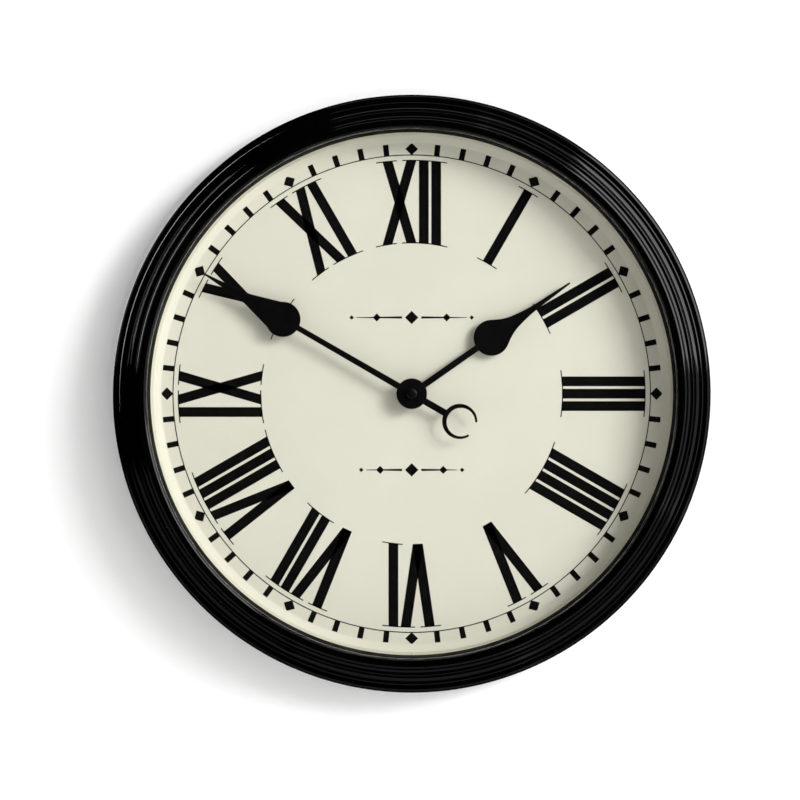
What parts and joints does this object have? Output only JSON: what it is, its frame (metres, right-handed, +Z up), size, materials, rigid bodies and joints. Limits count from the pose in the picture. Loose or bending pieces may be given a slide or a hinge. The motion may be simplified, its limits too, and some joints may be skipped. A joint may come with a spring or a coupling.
{
  "type": "schoolhouse wall clock",
  "caption": "Round wall clock: stepped gloss black ring case, domed lens, cream dial with Roman numerals, black hands, battery movement and keyhole hanger.",
  "frame": {"origin": "on the hands' axis, halfway between the crest of the case and the wall", "axes": "+Z up towards twelve, +X to the viewer's right, dial faces -Y, +Y into the wall"},
  "size_m": [0.5, 0.06, 0.5],
  "materials": {
    "gloss_black": "deep gloss black lacquer",
    "acrylic": "clear",
    "foam": "matte foam",
    "cream_strip": "cream, satin",
    "dial_paint": "cream paint, matte",
    "hardboard": "bare brown hardboard",
    "black_board": "black-faced hardboard",
    "zinc_steel": "zinc plated",
    "movement_black": "fine texture",
    "rubber": "matte",
    "brass": "turned brass",
    "circuit_green": "solder mask",
    "chip_black": "moulded",
    "can_steel": "bright drawn can",
    "bobbin_white": "moulded",
    "copper": "enamelled copper wire",
    "iron": "annealed sheet",
    "spring_steel": "nickel plated strip",
    "cell_sleeve": "plain shrink sleeve",
    "hand_black": "satin black paint",
    "wheel_white": "acetal, as moulded",
    "knob_grey": "knurled",
    "magnet": "sintered magnet"
  },
  "bodies": {
    "clock_case": {"case_ring": "gloss_black", "lens_gasket": "foam", "lens": "acrylic", "spacer_ring": "cream_strip", "dial": "dial_paint", "backing_board": "hardboard", "board_screws": "zinc_steel", "back_panel": "black_board", "panel_screws": "zinc_steel", "hanging_plate": "zinc_steel", "hanger_screws": "zinc_steel", "movement_front_case": "movement_black", "movement_rear_cover": "movement_black", "cover_screws": "zinc_steel", "rubber_washer": "rubber", "dial_washer": "brass", "mounting_nut": "brass", "circuit_board": "circuit_green", "clock_chip": "chip_black", "quartz_crystal": "can_steel", "coil_bobbin": "bobbin_white", "coil_winding": "copper", "coil_core": "iron", "stator_plate": "iron", "positive_contact": "spring_steel", "negative_contact": "spring_steel"},
    "battery": {"battery_cell": "can_steel", "battery_sleeve": "cell_sleeve"},
    "minute_hand_set": {"minute_hand": "hand_black", "hub_disc": "hand_black", "cap_nut": "hand_black", "centre_wheel": "wheel_white"},
    "hour_hand_set": {"hour_hand": "hand_black", "hour_bush": "brass", "hour_wheel": "wheel_white"},
    "minute_wheel_set": {"minute_wheel": "wheel_white"},
    "setting_set": {"setting_stem": "wheel_white", "setting_knob": "knob_grey"},
    "third_wheel_set": {"third_wheel": "wheel_white"},
    "second_wheel_set": {"second_wheel": "wheel_white"},
    "intermediate_wheel_set": {"intermediate_wheel": "wheel_white"},
    "rotor_set": {"rotor_pinion": "wheel_white", "rotor_magnet": "magnet"}
  },
  "joints": [
    {"name": "minute_hand_turn", "type": "hinge", "parent": "clock_case", "child": "minute_hand_set", "pos_m": [0, 0, 0], "axis": [0, 1, 0], "continuous": true},
    {"name": "hour_hand_turn", "type": "hinge", "parent": "clock_case", "child": "hour_hand_set", "pos_m": [0, 0, 0], "axis": [0, 1, 0], "continuous": true},
    {"name": "minute_wheel_turn", "type": "hinge", "parent": "clock_case", "child": "minute_wheel_set", "pos_m": [-0.0065, 0, 0.00375], "axis": [0, 1, 0], "continuous": true},
    {"name": "setting_turn", "type": "hinge", "parent": "clock_case", "child": "setting_set", "pos_m": [-0.01299, 0, 0.0075], "axis": [0, 1, 0], "continuous": true},
    {"name": "third_wheel_turn", "type": "hinge", "parent": "clock_case", "child": "third_wheel_set", "pos_m": [0.00935, 0, 0.0054], "axis": [0, 1, 0], "continuous": true},
    {"name": "second_wheel_turn", "type": "hinge", "parent": "clock_case", "child": "second_wheel_set", "pos_m": [0.00758, 0, 0.01545], "axis": [0, 1, 0], "continuous": true},
    {"name": "intermediate_wheel_turn", "type": "hinge", "parent": "clock_case", "child": "intermediate_wheel_set", "pos_m": [-0.00079, 0, 0.01397], "axis": [0, 1, 0], "continuous": true},
    {"name": "rotor_turn", "type": "hinge", "parent": "clock_case", "child": "rotor_set", "pos_m": [-0.00818, 0, 0.01527], "axis": [0, 1, 0], "continuous": true},
    {"name": "battery_slide", "type": "slide", "parent": "clock_case", "child": "battery", "axis": [0, 1, 0], "range_m": [0, 0.03]}
  ],
  "couplings": [
    {"joint": "hour_hand_turn", "follows": "minute_hand_turn", "ratio": 0.083333},
    {"joint": "minute_wheel_turn", "follows": "minute_hand_turn", "ratio": -0.33333},
    {"joint": "setting_turn", "follows": "minute_hand_turn", "ratio": 1},
    {"joint": "third_wheel_turn", "follows": "minute_hand_turn", "ratio": -8},
    {"joint": "second_wheel_turn", "follows": "minute_hand_turn", "ratio": 60},
    {"joint": "intermediate_wheel_turn", "follows": "minute_hand_turn", "ratio": -450},
    {"joint": "rotor_turn", "follows": "minute_hand_turn", "ratio": 1800}
  ]
}
